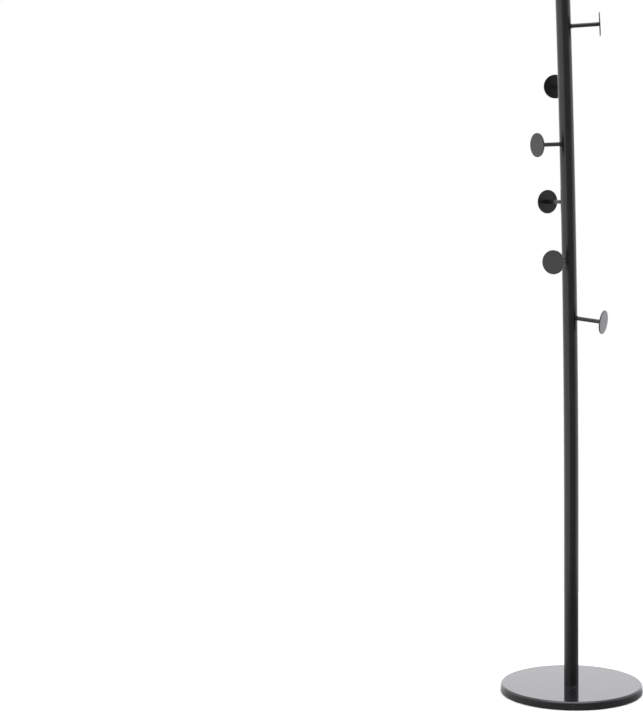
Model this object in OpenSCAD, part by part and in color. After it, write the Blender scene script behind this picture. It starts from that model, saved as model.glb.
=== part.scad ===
// Standing coat rack: a round marble foot, a two-part steel pole that leans very slightly,
// and six disc hooks that wind round its upper half. Millimetres, +Z up. The origin is on
// the floor under the centre of the foot, and a hook with azimuth 0 points along +X.

/* [Foot] */
// Diameter of the marble foot
base_d = 350; // [260:1:450]
// Thickness of the marble foot
base_t = 20; // [16:0.5:40]
// Width of the flat bevel round the top edge of the marble
base_bevel = 3.5; // [1:0.1:6]
// Width of the small bevel round the bottom edge of the marble
base_arris = 1; // [0.3:0.1:3]
// Depth of the recess under the marble for the foot bolt
recess_depth = 12; // [12:0.5:14]
// Diameter of that recess
recess_d = 46; // [44:1:80]
// Diameter of each felt pad
pad_d = 28; // [10:1:45]
// Thickness of each felt pad
pad_t = 1.5; // [1:0.1:6]
// Number of felt pads
pad_count = 6; // [3:1:12]
// Distance from a pad's rim to the rim of the marble
pad_inset = 7; // [4:0.5:30]

/* [Pole] */
// Height of the top of the pole above the floor
pole_height = 1750; // [1500:1:2200]
// Outer diameter of both pole tubes
pole_d = 36; // [32:0.5:50]
// Wall thickness of both pole tubes
tube_wall = 2; // [1.5:0.1:2.5]
// Height of the joint between the two tubes above the floor
joint_height = 440; // [200:1:600]
// Width of the bevel on the tube ends that meet at the joint
joint_bevel = 0.4; // [0.1:0.1:1]
// Straight length of the upper tube before it starts to bend
bend_start = 5; // [2:1:200]
// Angle through which the upper tube bends on its way to the top, towards -X
bend_angle = 1.9; // [0.5:0.05:4]
// Thickness of the ring that the pole stands on
gasket_t = 1; // [0.5:0.1:3]
// How far that ring sits inside the pole's outline
gasket_inset = 0.5; // [0:0.1:1]

/* [Hooks] */
// Distance from the top of the pole down to the highest hook
top_hook_drop = 118; // [80:1:300]
// Distance from one hook to the next along the pole
hook_spacing = 140; // [70:1:160]
// Direction in which each hook points, lowest hook first
hook_azimuths = [340, 244, 126, 215, 107, 0]; // [0:1:360]
// How far each hook droops from square to the pole, lowest hook first
hook_droops = [7, 0, 0, 0, 0, -1]; // [-4:0.5:7]
// Diameter of the hook rods
rod_d = 10; // [9:0.5:14]
// Length of the hook rods
rod_length = 65; // [40:1:120]
// Diameter of the hook discs
disc_d = 58; // [30:1:90]
// Thickness of the hook discs
disc_t = 3; // [2.5:0.1:6]
// Radius of the rounded rim of the hook discs
disc_round = 0.8; // [0.2:0.1:1]
// Diameter of the saddle washer behind each rod
saddle_d = 12.5; // [11:0.5:16]
// Thickness of the saddle washer over the crest of the pole
saddle_t = 1; // [0.8:0.1:3]

/* [Fasteners] */
// Thread diameter of the foot bolt
foot_thread_d = 10; // [8:1:12]
// Thread diameter of the stud between the two tubes
joint_thread_d = 12; // [8:1:16]
// Thread diameter of the hook studs
hook_thread_d = 6; // [5:0.5:6]
// Length of the hook studs
hook_stud_length = 24; // [22:1:26]
// Length of the threaded plugs inside the tubes
plug_length = 25; // [20:1:27]

/* [Fits] */
// Gap all round between a plug or cap and the bore of its tube
plug_gap = 0.05; // [0.02:0.01:0.1]
// Gap all round between a thread and its tapped hole
thread_gap = 0.05; // [0.02:0.01:0.1]
// Gap all round between a bolt or stud and a plain clearance hole
hole_gap = 1; // [0.3:0.1:1.5]

/* [Hidden] */

// segments of a whole turn: of round pieces, of small fasteners, and of the pole's large bend
round_fn = 96;
small_fn = 48;
bend_fn = 5400;
$fn = round_fn;
eps = 0.01;

stone_black = "#26272a";
steel_black = "#2b2a2c";
polymer_black = "#1c1c1e";
felt_grey = "#3a3a3c";
zinc = "#b9bcc0";

hook_count = len(hook_azimuths);
pole_r = pole_d / 2;
bore_r = pole_r - tube_wall;

// levels above the floor
base_bottom = pad_t;
base_top = base_bottom + base_t;
pole_foot = base_top + gasket_t;
recess_top = base_bottom + recess_depth;

// foot bolt stack, from the recess ceiling down
plate_washer_t = 2.5;
plate_washer_d = recess_d - 6;
spring_washer_t = 2.2;
spring_washer_d = 1.8 * foot_thread_d;
bolt_head_h = 0.64 * foot_thread_d;
bolt_head_af = 1.6 * foot_thread_d;
bolt_seat = recess_top - plate_washer_t - spring_washer_t;

// how far each plug sits back from the end of its tube, and each stud end inside its plug
plug_setback = 0.5;
plug_bevel = 1;
stud_setback = 3.5;
joint_stud_length = 2 * (plug_setback + plug_length - stud_setback);

// the foot bolt is the longest one in 5 mm steps that stands under 1 mm out of its plug
foot_plug_top = pole_foot + plug_setback + plug_length;
foot_bolt_length = 5 * floor((foot_plug_top + 1 - bolt_seat) / 5);

cap_t = 2;
cap_round = 0.8;
cap_plug_length = 14;
cap_wall = 2;

// the bend is one arc in the XZ plane, about a point far out on the -X side
bend_foot = joint_height + bend_start;
bend_length = pole_height - cap_t - bend_foot;
bend_r = bend_length / (bend_angle * PI / 180);

// threaded insert behind each hook: its head lies in the tube's wall, and its collar is
// spread against the inside of the wall
insert_wall = 1.5;
insert_length = 13;
insert_setback = 0.8;
insert_hole_gap = 0.1;
insert_r = hook_thread_d / 2 + insert_wall;
collar_r = insert_r + 1.3;
collar_w = 3;
collar_gap = 0.2;

// each hook stud reaches this much further into the pole than into its rod
stud_offset = 1;
stud_tip_gap = 1;
rod_bevel = 0.5;
spigot_d = 6;
spigot_length = 1.4;
spigot_gap = 0.05;

// distance from the pole's centre line to the face that a hook rod stands on
rod_seat = pole_r + saddle_t;

// Turn of the pole, in degrees from upright, at a distance s above the bend's foot
function lean(s) = bend_angle * max(s, 0) / bend_length;

// Point on the centre line of the upper tube, at a distance s above the bend's foot
function pole_point(s) =
    [bend_r * (cos(lean(s)) - 1), 0, bend_foot + bend_r * sin(lean(s)) + min(s, 0)];

// Distance of hook i above the bend's foot
function hook_s(i) =
    pole_height - bend_foot - top_hook_drop - (hook_count - 1 - i) * hook_spacing;

// Highest level on hook i's axis at which the collar of its insert clears the tube's bore
function collar_top(i) = (sqrt(pow(bore_r, 2) - pow(collar_r, 2))
    - collar_r * sin(abs(hook_droops[i]))) / cos(hook_droops[i]) - collar_gap;

// Places children on the pole's centre line at a distance s above the bend's foot
module at_pole(s) {
    translate(pole_point(s)) rotate([0, -lean(s), 0]) children();
}

// Places children on hook i's axis, which leaves the pole's centre along +Z
module at_hook(i) {
    at_pole(hook_s(i)) rotate([0, 0, hook_azimuths[i]]) rotate([0, 90 + hook_droops[i], 0])
        children();
}

// Screw thread of outer diameter d drawn as rings, from z = 0 up
module thread(d, pitch, length) {
    depth = 0.6 * pitch;
    turns = floor(length / pitch);
    step = length / turns;
    flanks = [for (k = [0:turns - 1]) each [
        [d / 2 - depth, k * step],
        [d / 2, (k + 0.4) * step],
        [d / 2, (k + 0.6) * step]]];
    rotate_extrude($fn = small_fn)
        polygon(concat([[0, 0]], flanks, [[d / 2 - depth, length], [0, length]]));
}

// Ring of given radii between z = 0 and z = length, bevelled at both outer edges
module bushing(outer_r, inner_r, length, bevel) {
    rotate_extrude() polygon([
        [inner_r, 0], [outer_r - bevel, 0], [outer_r, bevel],
        [outer_r, length - bevel], [outer_r - bevel, length], [inner_r, length]]);
}

// Flat ring of given diameters from z = 0 up
module washer(outer_d, inner_d, thickness) {
    difference() {
        cylinder(d = outer_d, h = thickness);
        translate([0, 0, -eps]) cylinder(d = inner_d, h = thickness + 2 * eps);
    }
}

module marble_base() {
    color(stone_black) difference() {
        translate([0, 0, base_bottom]) rotate_extrude($fn = 2 * round_fn) polygon([
            [0, 0], [base_d / 2 - base_arris, 0], [base_d / 2, base_arris],
            [base_d / 2, base_t - base_bevel], [base_d / 2 - base_bevel, base_t],
            [0, base_t]]);
        translate([0, 0, base_bottom - eps]) cylinder(d = recess_d, h = recess_depth + eps);
        cylinder(d = foot_thread_d + 2 * hole_gap, h = base_top + eps);
    }
}

module base_pads() {
    color(felt_grey) for (k = [0:pad_count - 1])
        rotate([0, 0, 270 + k * 360 / pad_count])
            translate([base_d / 2 - pad_inset - pad_d / 2, 0, 0])
                cylinder(d = pad_d, h = pad_t, $fn = small_fn);
}

module foot_gasket() {
    color(polymer_black) translate([0, 0, base_top])
        washer(pole_d - 2 * gasket_inset, foot_thread_d + 2 * hole_gap, gasket_t);
}

module foot_bolt() {
    color(zinc) translate([0, 0, bolt_seat]) {
        thread(foot_thread_d, 1.5, foot_bolt_length);
        translate([0, 0, -bolt_head_h])
            cylinder(d = bolt_head_af / cos(30), h = bolt_head_h, $fn = 6);
    }
}

module foot_plate_washer() {
    color(zinc) translate([0, 0, recess_top - plate_washer_t])
        washer(plate_washer_d, foot_thread_d + hole_gap, plate_washer_t);
}

module foot_spring_washer() {
    split_w = 1;
    color(zinc) translate([0, 0, bolt_seat]) difference() {
        washer(spring_washer_d, foot_thread_d + hole_gap / 2, spring_washer_t);
        rotate([0, 0, 30]) translate([0, -split_w / 2, -eps])
            cube([spring_washer_d, split_w, spring_washer_t + 2 * eps]);
    }
}

module foot_plug() {
    color(zinc) translate([0, 0, pole_foot + plug_setback])
        bushing(bore_r - plug_gap, foot_thread_d / 2 + thread_gap, plug_length, plug_bevel);
}

module lower_tube() {
    color(steel_black) rotate_extrude() polygon([
        [bore_r, pole_foot], [pole_r, pole_foot],
        [pole_r, joint_height - joint_bevel], [pole_r - joint_bevel, joint_height],
        [bore_r, joint_height]]);
}

module lower_joint_plug() {
    color(zinc) translate([0, 0, joint_height - plug_setback - plug_length])
        bushing(bore_r - plug_gap, joint_thread_d / 2 + thread_gap, plug_length, plug_bevel);
}

module joint_stud() {
    color(zinc) translate([0, 0, joint_height - joint_stud_length / 2])
        thread(joint_thread_d, 1.75, joint_stud_length);
}

module upper_joint_plug() {
    color(zinc) translate([0, 0, joint_height + plug_setback])
        bushing(bore_r - plug_gap, joint_thread_d / 2 + thread_gap, plug_length, plug_bevel);
}

module upper_tube() {
    color(steel_black) difference() {
        union() {
            translate([0, 0, joint_height]) rotate_extrude() polygon([
                [bore_r, 0], [pole_r - joint_bevel, 0], [pole_r, joint_bevel],
                [pole_r, bend_start], [bore_r, bend_start]]);
            translate([-bend_r, 0, bend_foot]) rotate([90, 0, 0])
                rotate_extrude(angle = bend_angle, $fn = bend_fn) translate([bend_r, 0])
                    difference() {
                        circle(r = pole_r, $fn = round_fn);
                        circle(r = bore_r, $fn = round_fn);
                    }
        }
        for (i = [0:hook_count - 1])
            at_hook(i) cylinder(r = insert_r + insert_hole_gap, h = pole_d);
    }
}

module top_cap() {
    plug_r = bore_r - plug_gap;
    color(polymer_black) at_pole(bend_length) rotate_extrude() union() {
        difference() {
            square([pole_r, cap_t]);
            translate([pole_r - cap_round, cap_t - cap_round]) difference() {
                square(cap_round + eps);
                circle(r = cap_round, $fn = small_fn);
            }
        }
        translate([plug_r - cap_wall, -cap_plug_length]) square([cap_wall, cap_plug_length + eps]);
    }
}

module hook_inserts() {
    tap_r = hook_thread_d / 2 + thread_gap;
    head = pole_r - insert_setback;
    foot = head - insert_length;
    color(zinc) for (i = [0:hook_count - 1]) at_hook(i) rotate_extrude($fn = small_fn) polygon([
        [tap_r, foot], [insert_r, foot], [insert_r, collar_top(i) - collar_w],
        [collar_r, collar_top(i) - collar_w / 2], [collar_r, collar_top(i)],
        [insert_r, collar_top(i) + collar_gap], [insert_r, head], [tap_r, head]]);
}

module hook_studs() {
    start = rod_seat - hook_stud_length / 2 - stud_offset;
    color(zinc) for (i = [0:hook_count - 1])
        at_hook(i) translate([0, 0, start]) thread(hook_thread_d, 1, hook_stud_length);
}

module hook_saddle_washers() {
    color(polymer_black) for (i = [0:hook_count - 1]) difference() {
        at_hook(i) translate([0, 0, pole_r / 2])
            washer(saddle_d, hook_thread_d + hole_gap, rod_seat - pole_r / 2);
        at_pole(hook_s(i)) translate([0, 0, -pole_d]) cylinder(r = pole_r, h = 2 * pole_d);
    }
}

// Rod of hook i, tapped for its stud and with a spigot for its disc
module hook_rod(i) {
    tap_depth = hook_stud_length / 2 + stud_tip_gap;
    color(steel_black) at_hook(i) translate([0, 0, rod_seat]) difference() {
        union() {
            bushing(rod_d / 2, 0, rod_length, rod_bevel);
            cylinder(d = spigot_d, h = rod_length + spigot_length);
        }
        translate([0, 0, -eps]) cylinder(r = hook_thread_d / 2 + thread_gap, h = tap_depth + eps);
    }
}

// Disc of hook i, with a blind socket for the rod's spigot
module hook_disc(i) {
    color(steel_black) at_hook(i) translate([0, 0, rod_seat + rod_length])
        difference() {
            rotate_extrude() union() {
                square([disc_d / 2 - disc_round, disc_t]);
                translate([0, disc_round]) square([disc_d / 2, disc_t - 2 * disc_round]);
                for (y = [disc_round, disc_t - disc_round])
                    translate([disc_d / 2 - disc_round, y]) circle(r = disc_round, $fn = small_fn);
            }
            translate([0, 0, -eps])
                cylinder(d = spigot_d + 2 * spigot_gap, h = spigot_length + spigot_gap + eps);
        }
}

marble_base();
base_pads();
foot_gasket();
foot_bolt();
foot_plate_washer();
foot_spring_washer();
foot_plug();
lower_tube();
lower_joint_plug();
joint_stud();
upper_joint_plug();
upper_tube();
top_cap();
hook_inserts();
hook_studs();
hook_saddle_washers();
for (i = [0:hook_count - 1]) {
    hook_rod(i);
    hook_disc(i);
}
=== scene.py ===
"""Standing coat rack: a polished black marble foot, a two-part steel pole and six disc hooks.

Every visible piece is turned, spun or cut here with bmesh operators at the places that the
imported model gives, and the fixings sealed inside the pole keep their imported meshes. All sizes
are in metres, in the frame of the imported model: +Z up, the viewer on the -Y side.
"""

import logging
import math
from dataclasses import dataclass
from enum import Enum
from typing import Any, Callable

import bmesh
import bpy
from mathutils import Matrix, Vector


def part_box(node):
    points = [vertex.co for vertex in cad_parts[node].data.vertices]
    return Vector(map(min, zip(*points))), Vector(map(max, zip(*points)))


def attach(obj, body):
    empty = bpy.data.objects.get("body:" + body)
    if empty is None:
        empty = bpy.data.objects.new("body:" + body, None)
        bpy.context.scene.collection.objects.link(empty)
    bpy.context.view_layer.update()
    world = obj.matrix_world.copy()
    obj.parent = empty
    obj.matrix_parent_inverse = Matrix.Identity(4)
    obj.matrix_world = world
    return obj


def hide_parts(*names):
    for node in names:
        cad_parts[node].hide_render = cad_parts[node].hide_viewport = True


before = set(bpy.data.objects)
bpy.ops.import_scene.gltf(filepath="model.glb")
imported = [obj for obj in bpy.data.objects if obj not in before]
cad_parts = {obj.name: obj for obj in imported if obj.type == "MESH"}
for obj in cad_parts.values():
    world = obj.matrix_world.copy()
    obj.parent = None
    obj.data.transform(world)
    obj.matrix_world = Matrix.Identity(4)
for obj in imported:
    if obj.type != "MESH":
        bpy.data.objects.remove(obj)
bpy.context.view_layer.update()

log = logging.getLogger("coat_rack")

MM = 0.001
FULL_TURN = 2 * math.pi
BODY = "root"
MERGE_DISTANCE = 1e-6
ROUND_STEPS = 96
# How far each hook hangs below square to the pole, in degrees, from the lowest hook up.
DROOPS = (7, 0, 0, 0, 0, -1)
MIX_FACTOR, MIX_A, MIX_B, MIX_RESULT = 0, 6, 7, 2

Profile = list[tuple[float, float]]


# ---------------------------------------------------------------- material nodes


def linear(hex_colour: str) -> tuple[float, float, float, float]:
    """Turns an sRGB hex colour into the linear one that a shader works in.

    Args:
        hex_colour: The colour as "#rrggbb".

    Returns:
        Linear red, green, blue and an alpha of one.
    """
    channels = [int(hex_colour[i : i + 2], 16) / 255 for i in (1, 3, 5)]
    red, green, blue = (
        c / 12.92 if c <= 0.04045 else ((c + 0.055) / 1.055) ** 2.4 for c in channels
    )
    return (red, green, blue, 1.0)


def grey(value: float) -> tuple[float, float, float, float]:
    """Gives a linear grey for a mask."""
    return (value, value, value, 1.0)


def per_mm(size: float) -> float:
    """Gives the texture scale whose pattern repeats about every `size` millimetres."""
    return 1 / (size * MM)


def add_node(
    tree: bpy.types.NodeTree,
    kind: str,
    settings: dict[str | int, Any] | None = None,
    links: dict[str | int, bpy.types.NodeSocket] | None = None,
) -> bpy.types.Node:
    """Adds one node with its settings and its incoming links.

    Args:
        tree: The node tree that takes the node.
        kind: The node's type name.
        settings: Values by property name, or by input name or number. "stops" gives a colour
            ramp its (position, colour) pairs.
        links: The socket that feeds each input, by input name or number.

    Returns:
        The new node.
    """
    node = tree.nodes.new(kind)
    for key, value in (settings or {}).items():
        if key == "stops":
            elements = node.color_ramp.elements
            while len(elements) < len(value):
                elements.new(0.5)
            for element, (position, colour) in zip(elements, value):
                element.position, element.color = position, colour
        elif isinstance(key, str) and hasattr(node, key):
            setattr(node, key, value)
        else:
            node.inputs[key].default_value = value
    for key, source in (links or {}).items():
        tree.links.new(source, node.inputs[key])
    return node


class Slot(Enum):
    """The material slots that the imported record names."""

    MARBLE = "black_marble"
    STEEL = "black_steel"
    ZINC = "zinc_steel"
    NYLON = "black_nylon"
    FELT = "felt"


@dataclass(frozen=True)
class Finish:
    """What every finish has in common. A finish's own class adds its nodes in `dress`."""

    name: str
    slot: Slot
    ior: float | None
    roughness: float
    metallic: float = 0.0

    def build(self) -> bpy.types.Material:
        """Makes the material.

        Returns:
            The finished material, with its uniform values on the shader's own sockets.
        """
        material = bpy.data.materials.new(self.name)
        material.use_nodes = True
        tree = material.node_tree
        shader = tree.nodes["Principled BSDF"]
        shader.inputs["Metallic"].default_value = self.metallic
        shader.inputs["Roughness"].default_value = self.roughness
        if self.ior is not None:
            shader.inputs["IOR"].default_value = self.ior
        place = add_node(tree, "ShaderNodeTexCoord").outputs["Object"]
        self.dress(tree, shader, place)
        return material

    def dress(
        self, tree: bpy.types.NodeTree, shader: bpy.types.Node, place: bpy.types.NodeSocket
    ) -> None:
        """Adds the finish's pattern.

        Args:
            tree: The material's node tree.
            shader: Its Principled shader.
            place: Object coordinates, in metres.
        """
        raise NotImplementedError


@dataclass(frozen=True)
class Vein:
    """One calcite vein: the trace on the slab of a steep sheet through the stone.

    Lengths are in millimetres. x and y are a point on the vein, and heading is its direction in
    degrees from +X. bend is how far it curves to its left over 100 mm, and slant is how far it
    shifts to its right for each millimetre below the slab's top.
    """

    x: float
    y: float
    heading: float
    length: float
    width: float
    bend: float
    slant: float
    strength: float


@dataclass(frozen=True)
class PolishedBlackMarble(Finish):
    """Black limestone marble, sawn, calibrated and polished to a mirror.

    To the eye it is a near-black, slightly cloudy stone with a fine pale mottle. Thin white
    calcite veins and hairlines wander through it, and its skin mirrors the room sharply.
    Sizes are in millimetres. cloud, mottle and crack_patch are noise as (size, detail,
    roughness). The crack fields shape the hairlines, and the wander and break fields a vein's
    line and its gaps. A vein is `vein_dulling` times as rough as the polish.
    """

    top: float = 21.5
    cloud: tuple[float, float, float] = (45.0, 4.0, 0.6)
    mottle: tuple[float, float, float] = (4.0, 6.0, 0.75)
    crack_patch: tuple[float, float, float] = (60.0, 1.0, 0.5)
    crack_warp: float = 50.0
    crack_reach: float = 16.0
    crack_cell: float = 120.0
    crack_width: float = 0.6
    crack_strength: float = 0.1
    fleck_cell: float = 24.0
    wander: float = 9.0
    wander_step: float = 28.0
    break_step: float = 16.0
    break_strength: float = 0.12
    bend_over: float = 100.0
    vein_dulling: float = 3.0
    veins: tuple[Vein, ...] = (
        Vein(-22, -87, 56, 260, 0.5, 7.2, -1.1, 0.24),
        Vein(-44, -29, 35, 18, 0.6, 0.0, 0.0, 0.3),
        Vein(45, 30, 38, 90, 0.35, 12.0, 0.4, 0.09),
        Vein(96, -26, -28, 70, 0.3, 8.0, -0.4, 0.08),
        Vein(95, 80, 71, 200, 0.4, -10.0, 0.6, 0.14),
        Vein(-92, 78, -28, 180, 0.4, 8.0, 0.5, 0.12),
        Vein(40, 165, 84, 60, 0.5, 6.0, 0.8, 0.2),
    )

    def dress(
        self, tree: bpy.types.NodeTree, shader: bpy.types.Node, place: bpy.types.NodeSocket
    ) -> None:
        """Lays mottle, hairlines, flecks and calcite veins over the cloudy black body.

        Args:
            tree: The material's node tree.
            shader: Its Principled shader.
            place: Object coordinates, in metres.
        """
        blacks = [(0.3, linear("#0a0b0b")), (0.55, linear("#101111")), (0.8, linear("#191a1a"))]
        ramps = []
        for (size, detail, rough), stops in (
            (self.cloud, blacks),
            (self.mottle, [(0.42, grey(0.0)), (0.75, grey(0.22))]),
            (self.crack_patch, [(0.45, grey(0.0)), (0.65, grey(1.0))]),
        ):
            noise = add_node(
                tree,
                "ShaderNodeTexNoise",
                {"Scale": per_mm(size), "Detail": detail, "Roughness": rough},
                {"Vector": place},
            ).outputs["Fac"]
            ramp = add_node(tree, "ShaderNodeValToRGB", {"stops": stops}, {"Fac": noise})
            ramps.append(ramp.outputs["Color"])
        colour, mottling, cracked = ramps
        cells = add_node(
            tree, "ShaderNodeTexVoronoi", {"Scale": per_mm(self.fleck_cell)}, {"Vector": place}
        ).outputs["Distance"]
        # Each fleck is about a millimetre across, with a soft edge.
        flecks = add_node(
            tree,
            "ShaderNodeValToRGB",
            {"stops": [(0.012, grey(0.6)), (0.03, grey(0.0))]},
            {"Fac": cells},
        ).outputs["Color"]
        traces = [self.trace(tree, place, vein) for vein in self.veins]
        layers = [
            (mottling, "#4c4d52"),
            (self.hairlines(tree, place, cracked), "#8d8f90"),
            (flecks, "#b9bab8"),
            *((trace, "#d2d1cc") for trace in traces),
        ]
        for mask, tint in layers:
            colour = add_node(
                tree,
                "ShaderNodeMix",
                {"data_type": "RGBA", MIX_B: linear(tint)},
                {MIX_FACTOR: mask, MIX_A: colour},
            ).outputs[MIX_RESULT]
        calcite = traces[0]
        for trace in traces[1:]:
            calcite = add_node(
                tree, "ShaderNodeMath", {"operation": "MAXIMUM"}, {0: calcite, 1: trace}
            ).outputs["Value"]
        gloss = add_node(
            tree,
            "ShaderNodeMapRange",
            {"To Min": self.roughness, "To Max": self.vein_dulling * self.roughness},
            {"Value": calcite},
        ).outputs["Result"]
        tree.links.new(colour, shader.inputs["Base Color"])
        tree.links.new(gloss, shader.inputs["Roughness"])

    def hairlines(
        self,
        tree: bpy.types.NodeTree,
        place: bpy.types.NodeSocket,
        cracked: bpy.types.NodeSocket,
    ) -> bpy.types.NodeSocket:
        """Adds a net of faint hairlines, strong in some places and gone in others.

        Args:
            tree: The material's node tree.
            place: Object coordinates, in metres.
            cracked: How strongly the net shows at each place.

        Returns:
            The mask of the hairlines.
        """
        bent = add_node(
            tree,
            "ShaderNodeTexNoise",
            {"Scale": per_mm(self.crack_warp), "Detail": 4.0},
            {"Vector": place},
        ).outputs["Color"]
        warped = add_node(
            tree,
            "ShaderNodeVectorMath",
            {"operation": "MULTIPLY_ADD", 1: (self.crack_reach * MM,) * 3},
            {0: bent, 2: place},
        ).outputs["Vector"]
        crack = add_node(
            tree,
            "ShaderNodeTexVoronoi",
            {"feature": "DISTANCE_TO_EDGE", "Scale": per_mm(self.crack_cell)},
            {"Vector": warped},
        ).outputs["Distance"]
        ridge = add_node(
            tree,
            "ShaderNodeMapRange",
            {
                "interpolation_type": "SMOOTHSTEP",
                "From Min": self.crack_width / self.crack_cell,
                "From Max": 0.0,
                "To Max": self.crack_strength,
            },
            {"Value": crack},
        ).outputs["Result"]
        return add_node(
            tree, "ShaderNodeMath", {"operation": "MULTIPLY"}, {0: ridge, 1: cracked}
        ).outputs["Value"]

    def trace(
        self, tree: bpy.types.NodeTree, place: bpy.types.NodeSocket, vein: Vein
    ) -> bpy.types.NodeSocket:
        """Adds one vein: a bent, wandering line that thins towards both ends.

        Args:
            tree: The material's node tree.
            place: Object coordinates, in metres.
            vein: The vein's place and size.

        Returns:
            The mask of the vein.
        """
        turned = add_node(
            tree,
            "ShaderNodeMapping",
            {
                "vector_type": "TEXTURE",
                "Location": (vein.x * MM, vein.y * MM, self.top * MM),
                "Rotation": (0, 0, math.radians(vein.heading)),
                "Scale": (MM, MM, MM),
            },
            {"Vector": place},
        ).outputs["Vector"]
        axes = add_node(tree, "ShaderNodeSeparateXYZ", links={"Vector": turned}).outputs
        drift = add_node(
            tree,
            "ShaderNodeTexNoise",
            {"Scale": per_mm(self.wander_step), "Detail": 3.0},
            {"Vector": place},
        ).outputs["Fac"]
        wandering = add_node(
            tree,
            "ShaderNodeMapRange",
            {"To Min": -self.wander / 2, "To Max": self.wander / 2},
            {"Value": drift},
        ).outputs["Result"]
        squared = add_node(
            tree, "ShaderNodeMath", {"operation": "MULTIPLY"}, {0: axes["X"], 1: axes["X"]}
        ).outputs["Value"]
        curved = add_node(
            tree,
            "ShaderNodeMath",
            {"operation": "MULTIPLY_ADD", 1: vein.bend / self.bend_over**2},
            {0: squared, 2: wandering},
        ).outputs["Value"]
        slanted = add_node(
            tree,
            "ShaderNodeMath",
            {"operation": "MULTIPLY_ADD", 1: vein.slant},
            {0: axes["Z"], 2: curved},
        ).outputs["Value"]
        off = add_node(
            tree, "ShaderNodeMath", {"operation": "SUBTRACT"}, {0: axes["Y"], 1: slanted}
        ).outputs["Value"]
        fades = [
            (off, vein.width, 0.0, vein.strength),
            (axes["X"], vein.length / 2, vein.length / 4, 1.0),
        ]
        gaps = add_node(
            tree,
            "ShaderNodeTexNoise",
            {"Scale": per_mm(self.break_step), "Detail": 2.0},
            {"Vector": place},
        ).outputs["Fac"]
        mask = add_node(
            tree,
            "ShaderNodeMapRange",
            {"From Min": 0.42, "From Max": 0.58, "To Min": self.break_strength},
            {"Value": gaps},
        ).outputs["Result"]
        for distance, outer, inner, strength in fades:
            away = add_node(
                tree, "ShaderNodeMath", {"operation": "ABSOLUTE"}, {0: distance}
            ).outputs["Value"]
            fade = add_node(
                tree,
                "ShaderNodeMapRange",
                {
                    "interpolation_type": "SMOOTHSTEP",
                    "From Min": outer,
                    "From Max": inner,
                    "To Max": strength,
                },
                {"Value": away},
            ).outputs["Result"]
            mask = add_node(
                tree, "ShaderNodeMath", {"operation": "MULTIPLY"}, {0: mask, 1: fade}
            ).outputs["Value"]
        return mask


@dataclass(frozen=True)
class EvenFinish(Finish):
    """A nearly even finish: its tone and gloss drift a little, and its skin has fine relief.

    drift, gloss and skin are noise as (size in mm, detail, roughness). `gloss_range` is what
    the gloss noise adds to the roughness, and `skin_depth` is in mm.
    """

    tones: tuple[tuple[float, str], ...] = ()
    drift: tuple[float, float, float] = (30.0, 3.0, 0.5)
    gloss: tuple[float, float, float] = (9.0, 4.0, 0.6)
    gloss_range: tuple[float, float] = (-0.05, 0.05)
    skin: tuple[float, float, float] = (1.0, 2.0, 0.5)
    skin_depth: float = 0.01

    def dress(
        self, tree: bpy.types.NodeTree, shader: bpy.types.Node, place: bpy.types.NodeSocket
    ) -> None:
        """Adds the drift of tone, the uneven gloss and the skin's relief.

        Args:
            tree: The material's node tree.
            shader: Its Principled shader.
            place: Object coordinates, in metres.
        """
        drift, gloss, skin = (
            add_node(
                tree,
                "ShaderNodeTexNoise",
                {"Scale": per_mm(size), "Detail": detail, "Roughness": rough},
                {"Vector": place},
            ).outputs["Fac"]
            for size, detail, rough in (self.drift, self.gloss, self.skin)
        )
        colour = add_node(
            tree,
            "ShaderNodeValToRGB",
            {"stops": [(position, linear(tone)) for position, tone in self.tones]},
            {"Fac": drift},
        ).outputs["Color"]
        low, high = self.gloss_range
        shine = add_node(
            tree,
            "ShaderNodeMapRange",
            {"To Min": self.roughness + low, "To Max": self.roughness + high},
            {"Value": gloss},
        ).outputs["Result"]
        relief = add_node(
            tree, "ShaderNodeBump", {"Distance": self.skin_depth * MM}, {"Height": skin}
        ).outputs["Normal"]
        tree.links.new(colour, shader.inputs["Base Color"])
        tree.links.new(shine, shader.inputs["Roughness"])
        tree.links.new(relief, shader.inputs["Normal"])


@dataclass(frozen=True)
class SatinPowderCoat(EvenFinish):
    """Black polyester powder coat, sprayed and baked on steel.

    To the eye it is an even satin black, a little warm, with the faint orange peel of melted
    powder. It mirrors large bright areas as soft-edged bands. Peel is commonly about 0.02 mm
    deep. It is drawn four times as deep, and even so shows only faintly from close by.
    """

    tones: tuple[tuple[float, str], ...] = ((0.3, "#181617"), (0.7, "#201e1f"))
    skin: tuple[float, float, float] = (1.8, 2.0, 0.5)
    skin_depth: float = 0.08


@dataclass(frozen=True)
class BrightZincPlate(EvenFinish):
    """Bright zinc electroplated on steel hardware, with a clear blue passivation.

    To the eye it is a cool, fairly bright metal with cloudy spots where the plate is duller.
    """

    tones: tuple[tuple[float, str], ...] = ((0.3, "#b4b9bf"), (0.55, "#c8ccd0"), (0.8, "#c9c6b8"))
    drift: tuple[float, float, float] = (7.0, 4.0, 0.6)
    gloss: tuple[float, float, float] = (7.0, 4.0, 0.6)
    gloss_range: tuple[float, float] = (-0.08, 0.12)
    skin: tuple[float, float, float] = (0.8, 2.0, 0.5)


@dataclass(frozen=True)
class MouldedNylon(EvenFinish):
    """Black nylon, injection moulded in a finely sparked tool.

    To the eye it is a matt black, a shade colder and duller than the coated steel.
    """

    tones: tuple[tuple[float, str], ...] = ((0.3, "#121213"), (0.7, "#19191b"))
    drift: tuple[float, float, float] = (12.0, 3.0, 0.5)
    gloss: tuple[float, float, float] = (12.0, 3.0, 0.5)
    gloss_range: tuple[float, float] = (-0.06, 0.06)
    skin: tuple[float, float, float] = (0.5, 1.0, 0.5)
    skin_depth: float = 0.012


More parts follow.
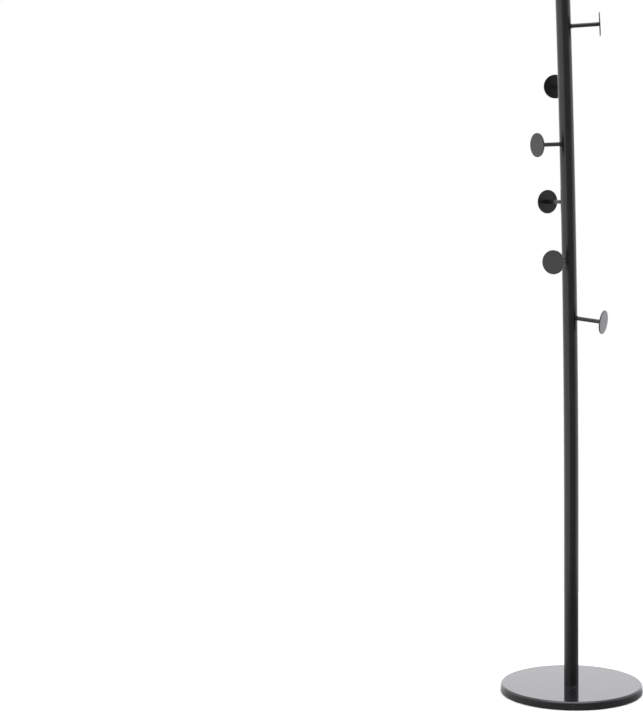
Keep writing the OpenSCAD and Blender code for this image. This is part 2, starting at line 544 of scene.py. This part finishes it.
@dataclass(frozen=True)
class PressedFelt(Finish):
    """Charcoal wool felt, pressed and die-cut.

    To the eye it is a dull, fuzzy dark grey with a tangle of paler fibres. Sizes are in mm.
    """

    fibre: float = 0.35
    tangling: float = 2.5
    nap: float = 0.15
    nap_strength: float = 0.8
    sheen: float = 0.4
    sheen_roughness: float = 0.6

    def dress(
        self, tree: bpy.types.NodeTree, shader: bpy.types.Node, place: bpy.types.NodeSocket
    ) -> None:
        """Adds the tangled fibres, their tone and their sheen.

        Args:
            tree: The material's node tree.
            shader: Its Principled shader.
            place: Object coordinates, in metres.
        """
        tangle = add_node(
            tree,
            "ShaderNodeTexNoise",
            {"Scale": per_mm(self.fibre), "Detail": 3.0, "Distortion": self.tangling},
            {"Vector": place},
        ).outputs["Fac"]
        wools = [
            (0.3, linear("#232326")),
            (0.6, linear("#3b3b3f")),
            (0.8, linear("#5b5b5f")),
        ]
        colour = add_node(
            tree, "ShaderNodeValToRGB", {"stops": wools}, {"Fac": tangle}
        ).outputs["Color"]
        fuzz = add_node(
            tree,
            "ShaderNodeBump",
            {"Strength": self.nap_strength, "Distance": self.nap * MM},
            {"Height": tangle},
        ).outputs["Normal"]
        shader.inputs["Sheen Weight"].default_value = self.sheen
        shader.inputs["Sheen Roughness"].default_value = self.sheen_roughness
        tree.links.new(colour, shader.inputs["Base Color"])
        tree.links.new(fuzz, shader.inputs["Normal"])


FINISHES: tuple[Finish, ...] = (
    PolishedBlackMarble("polished_black_marble", Slot.MARBLE, ior=1.55, roughness=0.07),
    SatinPowderCoat("satin_black_powder_coat", Slot.STEEL, ior=1.5, roughness=0.24),
    BrightZincPlate("bright_zinc_plate", Slot.ZINC, ior=None, roughness=0.3, metallic=1.0),
    MouldedNylon("moulded_black_nylon", Slot.NYLON, ior=1.53, roughness=0.5),
    PressedFelt("pressed_charcoal_felt", Slot.FELT, ior=1.5, roughness=0.95),
)


# ---------------------------------------------------------------- mesh work


def revolve(
    mesh: bmesh.types.BMesh, profile: Profile, steps: int = ROUND_STEPS, closed: bool = True
) -> list[bmesh.types.BMVert]:
    """Spins a profile a whole turn round +Z.

    Args:
        mesh: The mesh that takes the shape.
        profile: (radius, height) points. A point at radius zero becomes a pole.
        steps: Number of steps in the turn.
        closed: Whether the last point joins the first.

    Returns:
        The vertices that the turn made.
    """
    known = set(mesh.verts)
    points = [mesh.verts.new((radius, 0, height)) for radius, height in profile]
    pairs = list(zip(points, points[1:])) + ([(points[-1], points[0])] if closed else [])
    edges = [mesh.edges.new(pair) for pair in pairs]
    bmesh.ops.spin(
        mesh,
        geom=points + edges,
        cent=(0, 0, 0),
        axis=(0, 0, 1),
        angle=FULL_TURN,
        steps=steps,
        use_merge=True,
    )
    made = [v for v in mesh.verts if v not in known]
    bmesh.ops.remove_doubles(mesh, verts=made, dist=MERGE_DISTANCE)
    return [v for v in mesh.verts if v not in known]


def round_edges(
    mesh: bmesh.types.BMesh,
    offset: float,
    segments: int = 3,
    sharper_than: float = math.radians(20),
    where: Callable[[bmesh.types.BMEdge], bool] = lambda edge: True,
) -> None:
    """Rounds the corners of a turned shape, as deburring and coating leave them.

    Args:
        mesh: The mesh to work on.
        offset: Distance that the rounding reaches from each corner.
        segments: Number of faces across the rounding.
        sharper_than: Only edges that turn through more than this angle are rounded.
        where: A further test that an edge must pass.
    """
    edges = [
        edge
        for edge in mesh.edges
        if edge.is_manifold and edge.calc_face_angle() > sharper_than and where(edge)
    ]
    bmesh.ops.bevel(
        mesh,
        geom=edges,
        offset=offset,
        offset_type="OFFSET",
        segments=segments,
        profile=0.5,
        affect="EDGES",
        material=-1,
    )


def make_piece(
    name: str,
    mesh: bmesh.types.BMesh,
    materials: dict[Slot, bpy.types.Material],
    slot: Slot,
    *nodes: str,
    crease: float = math.radians(35),
) -> bpy.types.Object:
    """Turns finished mesh work into a piece that rides with the rack.

    Args:
        name: The piece's name.
        mesh: The mesh work, in the row frame. It is freed.
        materials: Every slot's finish.
        slot: The record's material slot, which gives the piece its finish.
        *nodes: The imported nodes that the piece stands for.
        crease: Edges that turn through more than this stay crisp.

    Returns:
        The piece.
    """
    bmesh.ops.remove_doubles(mesh, verts=mesh.verts, dist=MERGE_DISTANCE)
    bmesh.ops.recalc_face_normals(mesh, faces=mesh.faces)
    data = bpy.data.meshes.new(name)
    mesh.to_mesh(data)
    mesh.free()
    data.materials.append(materials[slot])
    data.shade_smooth()
    data.set_sharp_from_angle(angle=crease)
    piece = bpy.data.objects.new(name, data)
    bpy.context.scene.collection.objects.link(piece)
    flats = piece.modifiers.new("flat_faces_stay_flat", "WEIGHTED_NORMAL")
    flats.keep_sharp = True
    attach(piece, BODY)
    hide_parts(*nodes)
    log.info("built %s: %d faces", name, len(data.polygons))
    return piece


def levels(node: str) -> tuple[float, float]:
    """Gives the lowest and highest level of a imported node."""
    low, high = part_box(node)
    return low.z, high.z


@dataclass(frozen=True)
class PoleLine:
    """The pole's centre line above the joint: a straight lead, then one even bend towards -X."""

    foot: float
    lead: float = 5 * MM
    length: float = 1303 * MM
    angle: float = math.radians(1.9)

    @property
    def radius(self) -> float:
        """Radius of the bend."""
        return self.length / self.angle

    @property
    def start(self) -> Vector:
        """Point where the bend starts."""
        return Vector((0, 0, self.foot + self.lead))

    @property
    def centre(self) -> Vector:
        """Point that the bend turns about."""
        return self.start - Vector((self.radius, 0, 0))

    def at(self, distance: float) -> Matrix:
        """Gives the pole's frame at a distance along the bend, with +Z along the pole.

        Args:
            distance: Distance along the centre line from where the bend starts.

        Returns:
            The frame, whose origin is on the centre line.
        """
        lean = distance / self.radius
        arm = Vector((self.radius * math.cos(lean), 0, self.radius * math.sin(lean)))
        return Matrix.Translation(self.centre + arm) @ Matrix.Rotation(-lean, 4, "Y")

    def nearest(self, point: Vector) -> float:
        """Gives the distance along the bend at which the pole passes closest to a point."""
        arm = point - self.centre
        return math.atan2(arm.z, arm.x) * self.radius


# ---------------------------------------------------------------- the rack


@dataclass
class MarbleFoot:
    """The marble slab, the felt pads under it and the ring between slab and pole."""

    materials: dict[Slot, bpy.types.Material]
    diameter: float = 350 * MM
    bevel: float = 3.5 * MM
    arris: float = 1 * MM
    polish_round: float = 1.2 * MM
    polish_steps: int = 5
    recess_round: float = 0.3 * MM
    recess: float = 46 * MM
    recess_depth: float = 12 * MM
    bore: float = 12 * MM
    pad: float = 28 * MM
    pad_inset: float = 7 * MM
    pad_count: int = 6
    pad_round: float = 0.4 * MM
    ring: float = 35 * MM
    ring_round: float = 0.2 * MM
    slab_steps: int = 256
    slab_crease: float = math.radians(60)

    def build(self) -> None:
        """Builds the foot from the floor up."""
        self.build_pads()
        self.build_slab()
        self.build_ring()

    def build_slab(self) -> None:
        """Turns the slab, with its flat top bevel, bottom arris and stepped bolt hole."""
        low, high = levels("marble_base")
        rim = self.diameter / 2
        mesh = bmesh.new()
        revolve(
            mesh,
            [
                (self.bore / 2, high),
                (rim - self.bevel, high),
                (rim, high - self.bevel),
                (rim, low + self.arris),
                (rim - self.arris, low),
                (self.recess / 2, low),
                (self.recess / 2, low + self.recess_depth),
                (self.bore / 2, low + self.recess_depth),
            ],
            self.slab_steps,
        )
        middle = (low + high) / 2
        round_edges(
            mesh,
            self.polish_round,
            self.polish_steps,
            where=lambda e: e.verts[0].co.z > middle and e.verts[0].co.xy.length > self.ring,
        )
        round_edges(mesh, self.recess_round, where=lambda e: e.verts[0].co.z < middle)
        make_piece(
            "marble_slab",
            mesh,
            self.materials,
            Slot.MARBLE,
            "marble_base",
            crease=self.slab_crease,
        )

    def build_pads(self) -> None:
        """Punches the felt pads, with edges that the slab's weight has rounded."""
        low, high = levels("base_pads")
        circle = (self.diameter - self.pad) / 2 - self.pad_inset
        mesh = bmesh.new()
        for index in range(self.pad_count):
            disc = bmesh.ops.create_cone(
                mesh,
                cap_ends=True,
                segments=ROUND_STEPS // 2,
                radius1=self.pad / 2,
                radius2=self.pad / 2,
                depth=high - low,
            )["verts"]
            turn = Matrix.Rotation(FULL_TURN * (index / self.pad_count - 1 / 4), 4, "Z")
            place = Matrix.Translation((circle, 0, (low + high) / 2))
            bmesh.ops.transform(mesh, matrix=turn @ place, verts=disc)
        round_edges(mesh, self.pad_round)
        make_piece("felt_pads", mesh, self.materials, Slot.FELT, "base_pads")

    def build_ring(self) -> None:
        """Turns the thin nylon ring that keeps the pole off the polish."""
        low, high = levels("foot_gasket")
        bore, rim = self.bore / 2, self.ring / 2
        mesh = bmesh.new()
        revolve(mesh, [(bore, low), (rim, low), (rim, high), (bore, high)])
        round_edges(mesh, self.ring_round, segments=2)
        make_piece("pole_foot_ring", mesh, self.materials, Slot.NYLON, "foot_gasket")


@dataclass
class FootFixing:
    """The bolt and washers in the recess under the slab.

    `chamfer_start` is the chamfer's inner radius as a part of the width over flats. The thread's
    grooves are `groove` of the pitch deep, and each crest lies between the two parts in `crest`.
    """

    materials: dict[Slot, bpy.types.Material]
    thread: float = 10 * MM
    pitch: float = 1.5 * MM
    groove: float = 0.6
    crest: tuple[float, float] = (0.4, 0.6)
    flats: float = 16 * MM
    head: float = 6.4 * MM
    chamfer_start: float = 0.475
    chamfer_tilt: float = math.radians(30)
    chamfer_cuts: int = 24
    bolt_crease: float = math.radians(20)
    plate: float = 40 * MM
    plate_bore: float = 11 * MM
    plate_round: float = 0.3 * MM
    spring: float = 18 * MM
    spring_bore: float = 10.5 * MM
    spring_gap: float = 1 * MM
    spring_heading: float = math.radians(30)
    spring_round: float = 0.2 * MM

    def build(self) -> None:
        """Builds the bolt and both washers."""
        self.build_bolt()
        self.build_plate()
        self.build_spring()

    def build_bolt(self) -> None:
        """Cuts the bolt's chamfered hexagon head and turns its threaded shank."""
        low, high = levels("foot_bolt")
        seat = low + self.head
        mesh = bmesh.new()
        bmesh.ops.create_cone(
            mesh,
            cap_ends=True,
            segments=6,
            radius1=self.flats / math.sqrt(3),
            radius2=self.flats / math.sqrt(3),
            depth=self.head,
            matrix=Matrix.Translation((0, 0, (low + seat) / 2)),
        )
        slope = Vector((math.sin(self.chamfer_tilt), 0, -math.cos(self.chamfer_tilt)))
        for index in range(self.chamfer_cuts):
            turn = Matrix.Rotation(FULL_TURN * index / self.chamfer_cuts, 3, "Z")
            cut = bmesh.ops.bisect_plane(
                mesh,
                geom=mesh.verts[:] + mesh.edges[:] + mesh.faces[:],
                plane_co=turn @ Vector((self.chamfer_start * self.flats, 0, low)),
                plane_no=turn @ slope,
                clear_outer=True,
            )["geom_cut"]
            bmesh.ops.edgenet_fill(
                mesh, edges=[e for e in cut if isinstance(e, bmesh.types.BMEdge)]
            )
        crest = self.thread / 2
        root = crest - self.groove * self.pitch
        rise, fall = self.crest
        turns = int((high - seat) / self.pitch)
        step = (high - seat) / turns
        flanks = [
            point
            for k in range(turns)
            for point in (
                (root, seat + k * step),
                (crest, seat + (k + rise) * step),
                (crest, seat + (k + fall) * step),
            )
        ]
        shank = [(0, seat), *flanks, (root, high), (0, high)]
        revolve(mesh, shank, ROUND_STEPS // 2, closed=False)
        make_piece(
            "foot_bolt_m10",
            mesh,
            self.materials,
            Slot.ZINC,
            "foot_bolt",
            crease=self.bolt_crease,
        )

    def build_plate(self) -> None:
        """Turns the plate washer that spreads the bolt's load over the recess ceiling."""
        low, high = levels("foot_plate_washer")
        mesh = bmesh.new()
        bore, rim = self.plate_bore / 2, self.plate / 2
        revolve(mesh, [(bore, low), (rim, low), (rim, high), (bore, high)])
        round_edges(mesh, self.plate_round)
        make_piece("plate_washer", mesh, self.materials, Slot.ZINC, "foot_plate_washer")

    def build_spring(self) -> None:
        """Turns the spring washer and cuts the split through it."""
        low, high = levels("foot_spring_washer")
        mesh = bmesh.new()
        bore, rim = self.spring_bore / 2, self.spring / 2
        section = [(bore, low), (rim, low), (rim, high), (bore, high)]
        points = [mesh.verts.new((radius, 0, height)) for radius, height in section]
        face = mesh.faces.new(points)
        half_gap = math.asin(self.spring_gap / (bore + rim))
        start = Matrix.Rotation(self.spring_heading + half_gap, 3, "Z")
        bmesh.ops.rotate(mesh, cent=(0, 0, 0), verts=points, matrix=start)
        bmesh.ops.spin(
            mesh,
            geom=[face, *face.edges, *points],
            cent=(0, 0, 0),
            axis=(0, 0, 1),
            angle=FULL_TURN - 2 * half_gap,
            steps=ROUND_STEPS // 2,
        )
        round_edges(mesh, self.spring_round, segments=2)
        make_piece("spring_washer", mesh, self.materials, Slot.ZINC, "foot_spring_washer")


@dataclass
class Pole:
    """Both pole tubes and the cap."""

    materials: dict[Slot, bpy.types.Material]
    line: PoleLine
    diameter: float = 36 * MM
    wall: float = 2 * MM
    joint_bevel: float = 0.4 * MM
    end_round: float = 0.15 * MM
    bend_steps: int = 64
    cap_round: float = 0.8 * MM
    cap_steps: int = 4
    cap_gap: float = 0.05 * MM
    cap_wall: float = 2 * MM
    cap_depth: float = 14 * MM
    cap_height: float = 2 * MM

    def build(self) -> None:
        """Builds the pole from the foot up."""
        self.build_lower_tube()
        self.build_upper_tube()
        self.build_cap()

    def build_lower_tube(self) -> None:
        """Turns the lower tube, bevelled where it meets the upper one."""
        low, high = levels("lower_tube")
        outer, bore = self.diameter / 2, self.diameter / 2 - self.wall
        mesh = bmesh.new()
        revolve(
            mesh,
            [
                (bore, low),
                (outer, low),
                (outer, high - self.joint_bevel),
                (outer - self.joint_bevel, high),
                (bore, high),
            ],
        )
        round_edges(mesh, self.end_round, segments=2)
        make_piece("lower_pole_tube", mesh, self.materials, Slot.STEEL, "lower_tube")

    def build_upper_tube(self) -> None:
        """Turns the upper tube's foot, then spins its open end through the bend."""
        outer, bore = self.diameter / 2, self.diameter / 2 - self.wall
        foot, bend = self.line.foot, self.line.start.z
        mesh = bmesh.new()
        revolve(
            mesh,
            [
                (bore, bend),
                (bore, foot),
                (outer - self.joint_bevel, foot),
                (outer, foot + self.joint_bevel),
                (outer, bend),
            ],
            closed=False,
        )
        rims = [edge for edge in mesh.edges if edge.is_boundary]
        last = bmesh.ops.spin(
            mesh,
            geom=rims + list(dict.fromkeys(vert for edge in rims for vert in edge.verts)),
            cent=self.line.centre,
            axis=(0, -1, 0),
            angle=self.line.angle,
            steps=self.bend_steps,
        )["geom_last"]
        bmesh.ops.bridge_loops(mesh, edges=[e for e in last if isinstance(e, bmesh.types.BMEdge)])
        bmesh.ops.remove_doubles(mesh, verts=mesh.verts, dist=MERGE_DISTANCE)
        round_edges(mesh, self.end_round, segments=2)
        make_piece("upper_pole_tube", mesh, self.materials, Slot.STEEL, "upper_tube")

    def build_cap(self) -> None:
        """Turns the push-in cap, with its rounded rim and its skirt inside the tube."""
        outer = self.diameter / 2
        skirt = outer - self.wall - self.cap_gap
        mesh = bmesh.new()
        revolve(
            mesh,
            [
                (0, self.cap_height),
                (outer, self.cap_height),
                (outer, 0),
                (skirt, 0),
                (skirt, -self.cap_depth),
                (skirt - self.cap_wall, -self.cap_depth),
                (skirt - self.cap_wall, 0),
                (0, 0),
            ],
            closed=False,
        )
        top = self.cap_height - MERGE_DISTANCE
        round_edges(
            mesh,
            self.cap_round,
            self.cap_steps,
            where=lambda e: min(v.co.z for v in e.verts) > top,
        )
        bmesh.ops.transform(mesh, matrix=self.line.at(self.line.length), verts=mesh.verts)
        make_piece("pole_cap", mesh, self.materials, Slot.NYLON, "top_cap")


@dataclass
class Hook:
    """One hook: a round rod screwed to the pole over a saddle washer, and a disc on its end.

    The disc's packed place gives the hook's direction. `droop` is how far the hook hangs below
    square to the pole.
    """

    materials: dict[Slot, bpy.types.Material]
    line: PoleLine
    number: int
    droop: float
    pole: float = 36 * MM
    rod: float = 10 * MM
    rod_length: float = 65 * MM
    rod_bevel: float = 0.5 * MM
    tap: float = 6.1 * MM
    tap_depth: float = 13 * MM
    spigot: float = 6 * MM
    spigot_length: float = 1.4 * MM
    disc: float = 58 * MM
    disc_height: float = 3 * MM
    disc_round: float = 0.8 * MM
    disc_steps: int = 5
    socket_gap: float = 0.05 * MM
    saddle: float = 12.5 * MM
    saddle_bore: float = 7 * MM
    saddle_height: float = 1 * MM

    @property
    def seat(self) -> float:
        """Distance from the pole's centre line to the foot of the rod."""
        return self.pole / 2 + self.saddle_height

    def place(self) -> Matrix:
        """Works out the hook's frame: +Z out along the rod, +X down the pole.

        Returns:
            The frame, whose origin is on the pole's centre line.
        """
        low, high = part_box(f"hook_{self.number}_disc")
        tip = (low + high) / 2
        reach = self.seat + self.rod_length + self.disc_height / 2
        pole = self.line.at(self.line.nearest(tip) + reach * math.sin(self.droop))
        out = (tip - pole.translation).normalized()
        across = out.cross(-pole.col[2].xyz).normalized()
        turn = Matrix((across.cross(out), across, out)).transposed().to_4x4()
        return Matrix.Translation(pole.translation) @ turn

    def build(self) -> None:
        """Builds the hook's washer, rod and disc."""
        place = self.place()
        self.build_saddle(place)
        self.build_rod(place)
        self.build_disc(place)

    def build_saddle(self, place: Matrix) -> None:
        """Turns the saddle washer and presses its underside onto the round of the pole.

        Args:
            place: The hook's frame.
        """
        mesh = bmesh.new()
        inner, outer, foot = self.saddle_bore / 2, self.saddle / 2, self.pole / 2
        revolve(mesh, [(inner, foot), (outer, foot), (outer, self.seat), (inner, self.seat)])
        for vert in [v for v in mesh.verts if v.co.z < foot + MERGE_DISTANCE]:
            rise = math.sqrt(foot**2 - vert.co.y**2)
            vert.co.z = (rise + vert.co.x * math.sin(self.droop)) / math.cos(self.droop)
        bmesh.ops.transform(mesh, matrix=place, verts=mesh.verts)
        name = f"hook_{self.number}_saddle_washer"
        make_piece(name, mesh, self.materials, Slot.NYLON, "hook_saddle_washers")

    def build_rod(self, place: Matrix) -> None:
        """Turns the rod, tapped at the pole and with a spigot at the disc.

        Args:
            place: The hook's frame.
        """
        mesh = bmesh.new()
        end = self.seat + self.rod_length
        revolve(
            mesh,
            [
                (0, self.seat + self.tap_depth),
                (self.tap / 2, self.seat + self.tap_depth),
                (self.tap / 2, self.seat),
                (self.rod / 2 - self.rod_bevel, self.seat),
                (self.rod / 2, self.seat + self.rod_bevel),
                (self.rod / 2, end - self.rod_bevel),
                (self.rod / 2 - self.rod_bevel, end),
                (self.spigot / 2, end),
                (self.spigot / 2, end + self.spigot_length),
                (0, end + self.spigot_length),
            ],
            closed=False,
        )
        bmesh.ops.transform(mesh, matrix=place, verts=mesh.verts)
        hook = f"hook_{self.number}"
        make_piece(f"{hook}_round_rod", mesh, self.materials, Slot.STEEL, f"{hook}_rod")

    def build_disc(self, place: Matrix) -> None:
        """Turns the disc with its rounded rim and the blind socket for the rod's spigot.

        Args:
            place: The hook's frame.
        """
        mesh = bmesh.new()
        low = self.seat + self.rod_length
        high = low + self.disc_height
        socket = self.spigot / 2 + self.socket_gap
        floor = low + self.spigot_length + self.socket_gap
        revolve(
            mesh,
            [
                (0, floor),
                (socket, floor),
                (socket, low),
                (self.disc / 2, low),
                (self.disc / 2, high),
                (0, high),
            ],
            closed=False,
        )
        rim = self.disc / 2 - MERGE_DISTANCE
        round_edges(
            mesh,
            self.disc_round,
            self.disc_steps,
            where=lambda e: min(v.co.xy.length for v in e.verts) > rim,
        )
        bmesh.ops.transform(mesh, matrix=place, verts=mesh.verts)
        hook = f"hook_{self.number}"
        make_piece(f"{hook}_round_disc", mesh, self.materials, Slot.STEEL, f"{hook}_disc")


@dataclass
class SealedFixings:
    """The plugs, studs and inserts inside the pole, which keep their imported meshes."""

    materials: dict[Slot, bpy.types.Material]
    nodes: tuple[str, ...] = (
        "foot_plug",
        "lower_joint_plug",
        "upper_joint_plug",
        "joint_stud",
        "hook_inserts",
        "hook_studs",
    )

    def build(self) -> None:
        """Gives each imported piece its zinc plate."""
        for name in self.nodes:
            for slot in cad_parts[name].material_slots:
                slot.material = self.materials[Slot.ZINC]
            log.info("dressed %s", name)


# ---------------------------------------------------------------- the studio


def direction(heading: float, height: float) -> tuple[float, float, float]:
    """Gives the unit vector at an angle from +X and an angle above level, both in degrees."""
    turn, rise = math.radians(heading), math.radians(height)
    return (math.cos(turn) * math.cos(rise), math.sin(turn) * math.cos(rise), math.sin(rise))


@dataclass(frozen=True)
class Glow:
    """A soft round patch of the tent, added to its evenly lit cloth.

    heading and height are the direction of its middle in degrees, from +X and above level. It
    fades from `inner` to `outer` degrees off that direction, and `strength` is what it adds.
    """

    heading: float
    height: float
    inner: float
    outer: float
    strength: float


@dataclass
class Studio:
    """A pale floor in a white light tent, brightest behind and overhead.

    The tent's open side is beside the camera, and leaves the rack's front in soft shade.
    """

    floor_radius: float = 1.1
    floor_seen: str = "#f4f4f2"
    # floor_lit and floor_shaded are painted light and painted shade on the floor, seen only by
    # reflections and bounced light.
    floor_lit: str = "#dcdcda"
    floor_shaded: str = "#5c5c5a"
    paper_roughness: float = 0.9
    shade_heading: float = -65.0
    shade_width: float = 0.35
    tent_colour: str = "#fbfbff"
    tent_strength: float = 1.35
    glows: tuple[Glow, ...] = (
        Glow(heading=-62, height=0, inner=40, outer=57, strength=-1.01),
        Glow(heading=90, height=0, inner=0, outer=50, strength=0.62),
        Glow(heading=-90, height=74, inner=0, outer=38, strength=2.2),
    )

    def build(self) -> None:
        """Lays the floor and lights the tent."""
        self.lay_floor()
        self.light_tent()

    def lay_floor(self) -> None:
        """Lays a round sheet of matt white paper at level zero. The camera sees it plain white.
        Reflections and bounced light see painted shade on it, darker towards shade_heading.
        """
        mesh = bmesh.new()
        bmesh.ops.create_circle(
            mesh, cap_ends=True, segments=ROUND_STEPS, radius=self.floor_radius
        )
        data = bpy.data.meshes.new("pale_floor")
        mesh.to_mesh(data)
        mesh.free()
        material = bpy.data.materials.new("matt_white_paper")
        material.use_nodes = True
        tree = material.node_tree
        shader = tree.nodes["Principled BSDF"]
        shader.inputs["Roughness"].default_value = self.paper_roughness
        shader.inputs["Specular IOR Level"].default_value = 0.0
        place = add_node(tree, "ShaderNodeTexCoord").outputs["Object"]
        # Painted shade: the floor's colour goes from floor_lit to floor_shaded towards
        # shade_heading, over shade_width either side of the middle.
        towards = direction(self.shade_heading, 0)
        shade = add_node(
            tree, "ShaderNodeVectorMath", {"operation": "DOT_PRODUCT", 1: towards}, {0: place}
        ).outputs["Value"]
        painted_shade_amount = add_node(
            tree,
            "ShaderNodeMapRange",
            {"From Min": -self.shade_width, "From Max": self.shade_width},
            {"Value": shade},
        ).outputs["Result"]
        painted_shade_colour = add_node(
            tree,
            "ShaderNodeMix",
            {
                "data_type": "RGBA",
                MIX_A: linear(self.floor_lit),
                MIX_B: linear(self.floor_shaded),
            },
            {MIX_FACTOR: painted_shade_amount},
        ).outputs[MIX_RESULT]
        # The camera sees the plain floor_seen colour, and every other ray sees the painted shade.
        seen = add_node(tree, "ShaderNodeLightPath").outputs["Is Camera Ray"]
        paper = add_node(
            tree,
            "ShaderNodeMix",
            {"data_type": "RGBA", MIX_B: linear(self.floor_seen)},
            {MIX_FACTOR: seen, MIX_A: painted_shade_colour},
        ).outputs[MIX_RESULT]
        tree.links.new(paper, shader.inputs["Base Color"])
        data.materials.append(material)
        floor = bpy.data.objects.new("pale_floor", data)
        bpy.context.scene.collection.objects.link(floor)
        log.info("laid the floor")

    def light_tent(self) -> None:
        """Makes the world: even white to the camera, and the tent's glows to the rack."""
        world = bpy.data.worlds.new("light_tent")
        bpy.context.scene.world = world
        world.use_nodes = True
        tree = world.node_tree
        background = tree.nodes["Background"]
        view = add_node(tree, "ShaderNodeTexCoord").outputs["Generated"]
        lit = add_node(
            tree, "ShaderNodeMath", {"operation": "ADD", 0: self.tent_strength, 1: 0.0}
        ).outputs["Value"]
        for glow in self.glows:
            towards = direction(glow.heading, glow.height)
            along = add_node(
                tree, "ShaderNodeVectorMath", {"operation": "DOT_PRODUCT", 1: towards}, {0: view}
            ).outputs["Value"]
            patch = add_node(
                tree,
                "ShaderNodeMapRange",
                {
                    "interpolation_type": "SMOOTHSTEP",
                    "From Min": math.cos(math.radians(glow.outer)),
                    "From Max": math.cos(math.radians(glow.inner)),
                    "To Max": glow.strength,
                },
                {"Value": along},
            ).outputs["Result"]
            lit = add_node(
                tree, "ShaderNodeMath", {"operation": "ADD"}, {0: lit, 1: patch}
            ).outputs["Value"]
        seen = add_node(tree, "ShaderNodeLightPath").outputs["Is Camera Ray"]
        strength = add_node(
            tree, "ShaderNodeMix", {"data_type": "FLOAT", "B": 1.0}, {"Factor": seen, "A": lit}
        ).outputs["Result"]
        cloth = add_node(
            tree,
            "ShaderNodeMix",
            {"data_type": "RGBA", MIX_A: linear(self.tent_colour), MIX_B: grey(1.0)},
            {MIX_FACTOR: seen},
        ).outputs[MIX_RESULT]
        tree.links.new(strength, background.inputs["Strength"])
        tree.links.new(cloth, background.inputs["Color"])
        log.info("lit the tent")


@dataclass
class Viewpoint:
    """The camera: eye level, five metres off, looking a little down and to the rack's left."""

    distance: float = 4.987
    height: float = 1.385
    down: float = 6.33
    left: float = 7.016
    roll: float = -0.786
    lens: float = 102.1

    def build(self) -> None:
        """Places the camera and makes it the scene's own."""
        data = bpy.data.cameras.new("eye_level")
        data.lens = self.lens
        data.dof.use_dof = False
        camera = bpy.data.objects.new("eye_level", data)
        camera.matrix_world = (
            Matrix.Translation((0, -self.distance, self.height))
            @ Matrix.Rotation(math.radians(self.left), 4, "Z")
            @ Matrix.Rotation(math.radians(90 - self.down), 4, "X")
            @ Matrix.Rotation(math.radians(self.roll), 4, "Z")
        )
        bpy.context.scene.collection.objects.link(camera)
        bpy.context.scene.camera = camera
        bpy.context.scene.view_settings.view_transform = "Standard"
        log.info("placed the camera")


def main() -> None:
    """Builds the rack from the floor up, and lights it."""
    logging.basicConfig(level=logging.INFO, format="%(name)s: %(message)s")
    Viewpoint().build()
    materials = {finish.slot: finish.build() for finish in FINISHES}
    line = PoleLine(foot=levels("lower_tube")[1])
    MarbleFoot(materials).build()
    FootFixing(materials).build()
    Pole(materials, line).build()
    for number, droop in enumerate(DROOPS, start=1):
        Hook(materials, line, number, math.radians(droop)).build()
    SealedFixings(materials).build()
    Studio().build()


if __name__ == "__main__":
    main()
